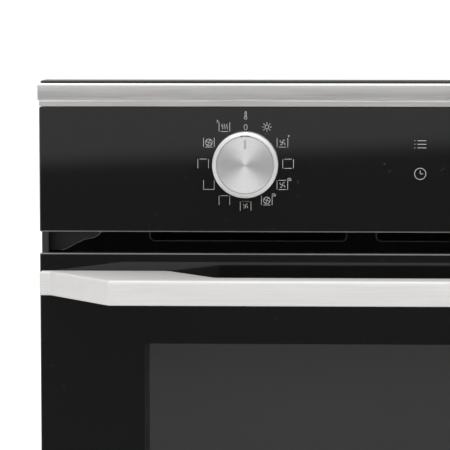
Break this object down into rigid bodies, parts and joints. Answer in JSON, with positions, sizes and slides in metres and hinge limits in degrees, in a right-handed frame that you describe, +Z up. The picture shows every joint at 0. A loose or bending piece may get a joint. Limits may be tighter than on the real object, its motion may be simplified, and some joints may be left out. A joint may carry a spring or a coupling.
{
  "type": "wall oven",
  "caption": "Built-in wall oven with black glass control panel, rotary knobs, bar handle, smoked-glass drop-down door and fan-assisted enamelled cavity.",
  "frame": {"origin": "centre of the bounding box in X and Y, on the plane of the base runners' undersides", "axes": "+Z up, -Y towards the front (the handle), +X to the right as seen from the front"},
  "size_m": [0.595, 0.64, 0.595],
  "materials": {
    "black_glass": "back-printed black glass, polished",
    "smoked_glass": "smoked, coated glass with a printed black border",
    "clear_glass": "clear heat-resistant glass",
    "brushed_steel": "stainless, brushed lengthways",
    "bright_aluminium": "brushed and clear-anodised aluminium",
    "black_plastic": "fine-textured heat-resistant plastic",
    "black_enamel": "black vitreous enamel, satin",
    "grey_enamel": "dark grey vitreous enamel, gloss, fine speckle",
    "zinc_sheet": "galvanised sheet with spangle",
    "chrome_wire": "chrome-plated steel wire",
    "element_alloy": "heat-tinted heater sheath",
    "glass_wool": "glass-wool blanket",
    "gasket_rubber": "woven-core silicone seal",
    "motor_metal": "bare machined and pressed steel",
    "white_ceramic": "steatite ceramic",
    "board_green": "circuit board"
  },
  "bodies": {
    "oven": {"air_duct": "zinc_sheet", "back_cover": "zinc_sheet", "baking_tray": "grey_enamel", "base_pan": "zinc_sheet", "blower_housing": "zinc_sheet", "bottom_element": "element_alloy", "cavity": "grey_enamel", "convection_motor": "motor_metal", "cooling_fan_motor": "motor_metal", "door_gasket": "gasket_rubber", "fan_baffle": "grey_enamel", "front_frame": "black_enamel", "function_switch": "white_ceramic", "grill_element": "element_alloy", "hinge_arm_left": "motor_metal", "hinge_arm_right": "motor_metal", "hinge_receiver_left": "zinc_sheet", "hinge_receiver_right": "zinc_sheet", "insulation_blanket": "glass_wool", "lamp_bulb": "clear_glass", "lamp_glass": "clear_glass", "lamp_holder": "white_ceramic", "mounting_screw_left": "zinc_sheet", "mounting_screw_right": "zinc_sheet", "outer_casing": "zinc_sheet", "panel_carrier": "black_plastic", "panel_glass": "black_glass", "panel_trim": "brushed_steel", "ring_element": "element_alloy", "side_rack_left": "chrome_wire", "side_rack_right": "chrome_wire", "temperature_probe": "chrome_wire", "terminal_box": "black_plastic", "thermostat": "motor_metal", "timer_touch_board": "board_green", "wire_shelf": "chrome_wire", "wiring_loom": "black_plastic"},
    "door": {"door_handle": "bright_aluminium", "door_inner_glass": "clear_glass", "door_middle_glass": "clear_glass", "door_outer_glass": "smoked_glass", "door_profile_bottom": "black_enamel", "door_profile_left": "black_enamel", "door_profile_right": "black_enamel", "door_profile_top": "black_enamel", "hinge_housing_left": "zinc_sheet", "hinge_housing_right": "zinc_sheet", "hinge_pin_left": "motor_metal", "hinge_pin_right": "motor_metal", "hinge_spring_left": "chrome_wire", "hinge_spring_right": "chrome_wire"},
    "function_knob": {"function_knob": "bright_aluminium", "function_knob_disc": "bright_aluminium", "function_knob_shaft": "motor_metal"},
    "temperature_knob": {"temperature_knob": "bright_aluminium", "temperature_knob_disc": "bright_aluminium", "temperature_knob_shaft": "motor_metal"},
    "convection_fan": {"convection_fan_wheel": "zinc_sheet", "convection_fan_shaft": "motor_metal"},
    "cooling_fan": {"cooling_fan_wheel": "zinc_sheet"}
  },
  "joints": [
    {"name": "door_hinge", "type": "hinge", "parent": "oven", "child": "door", "pos_m": [0, -0.24, 0.022], "axis": [1, 0, 0], "range_deg": [0, 90], "stiffness_Nm_per_rad": 12, "springref_deg": -11.46},
    {"name": "function_knob_turn", "type": "hinge", "parent": "oven", "child": "function_knob", "pos_m": [-0.157, -0.26, 0.5393], "axis": [0, 1, 0], "continuous": true},
    {"name": "temperature_knob_turn", "type": "hinge", "parent": "oven", "child": "temperature_knob", "pos_m": [0.157, -0.26, 0.5393], "axis": [0, 1, 0], "range_deg": [0, 300]},
    {"name": "convection_fan_spin", "type": "hinge", "parent": "oven", "child": "convection_fan", "pos_m": [0, 0.156, 0.25445], "axis": [0, 1, 0], "continuous": true},
    {"name": "cooling_fan_spin", "type": "hinge", "parent": "oven", "child": "cooling_fan", "pos_m": [0, 0.186, 0.5062], "axis": [1, 0, 0], "continuous": true}
  ]
}
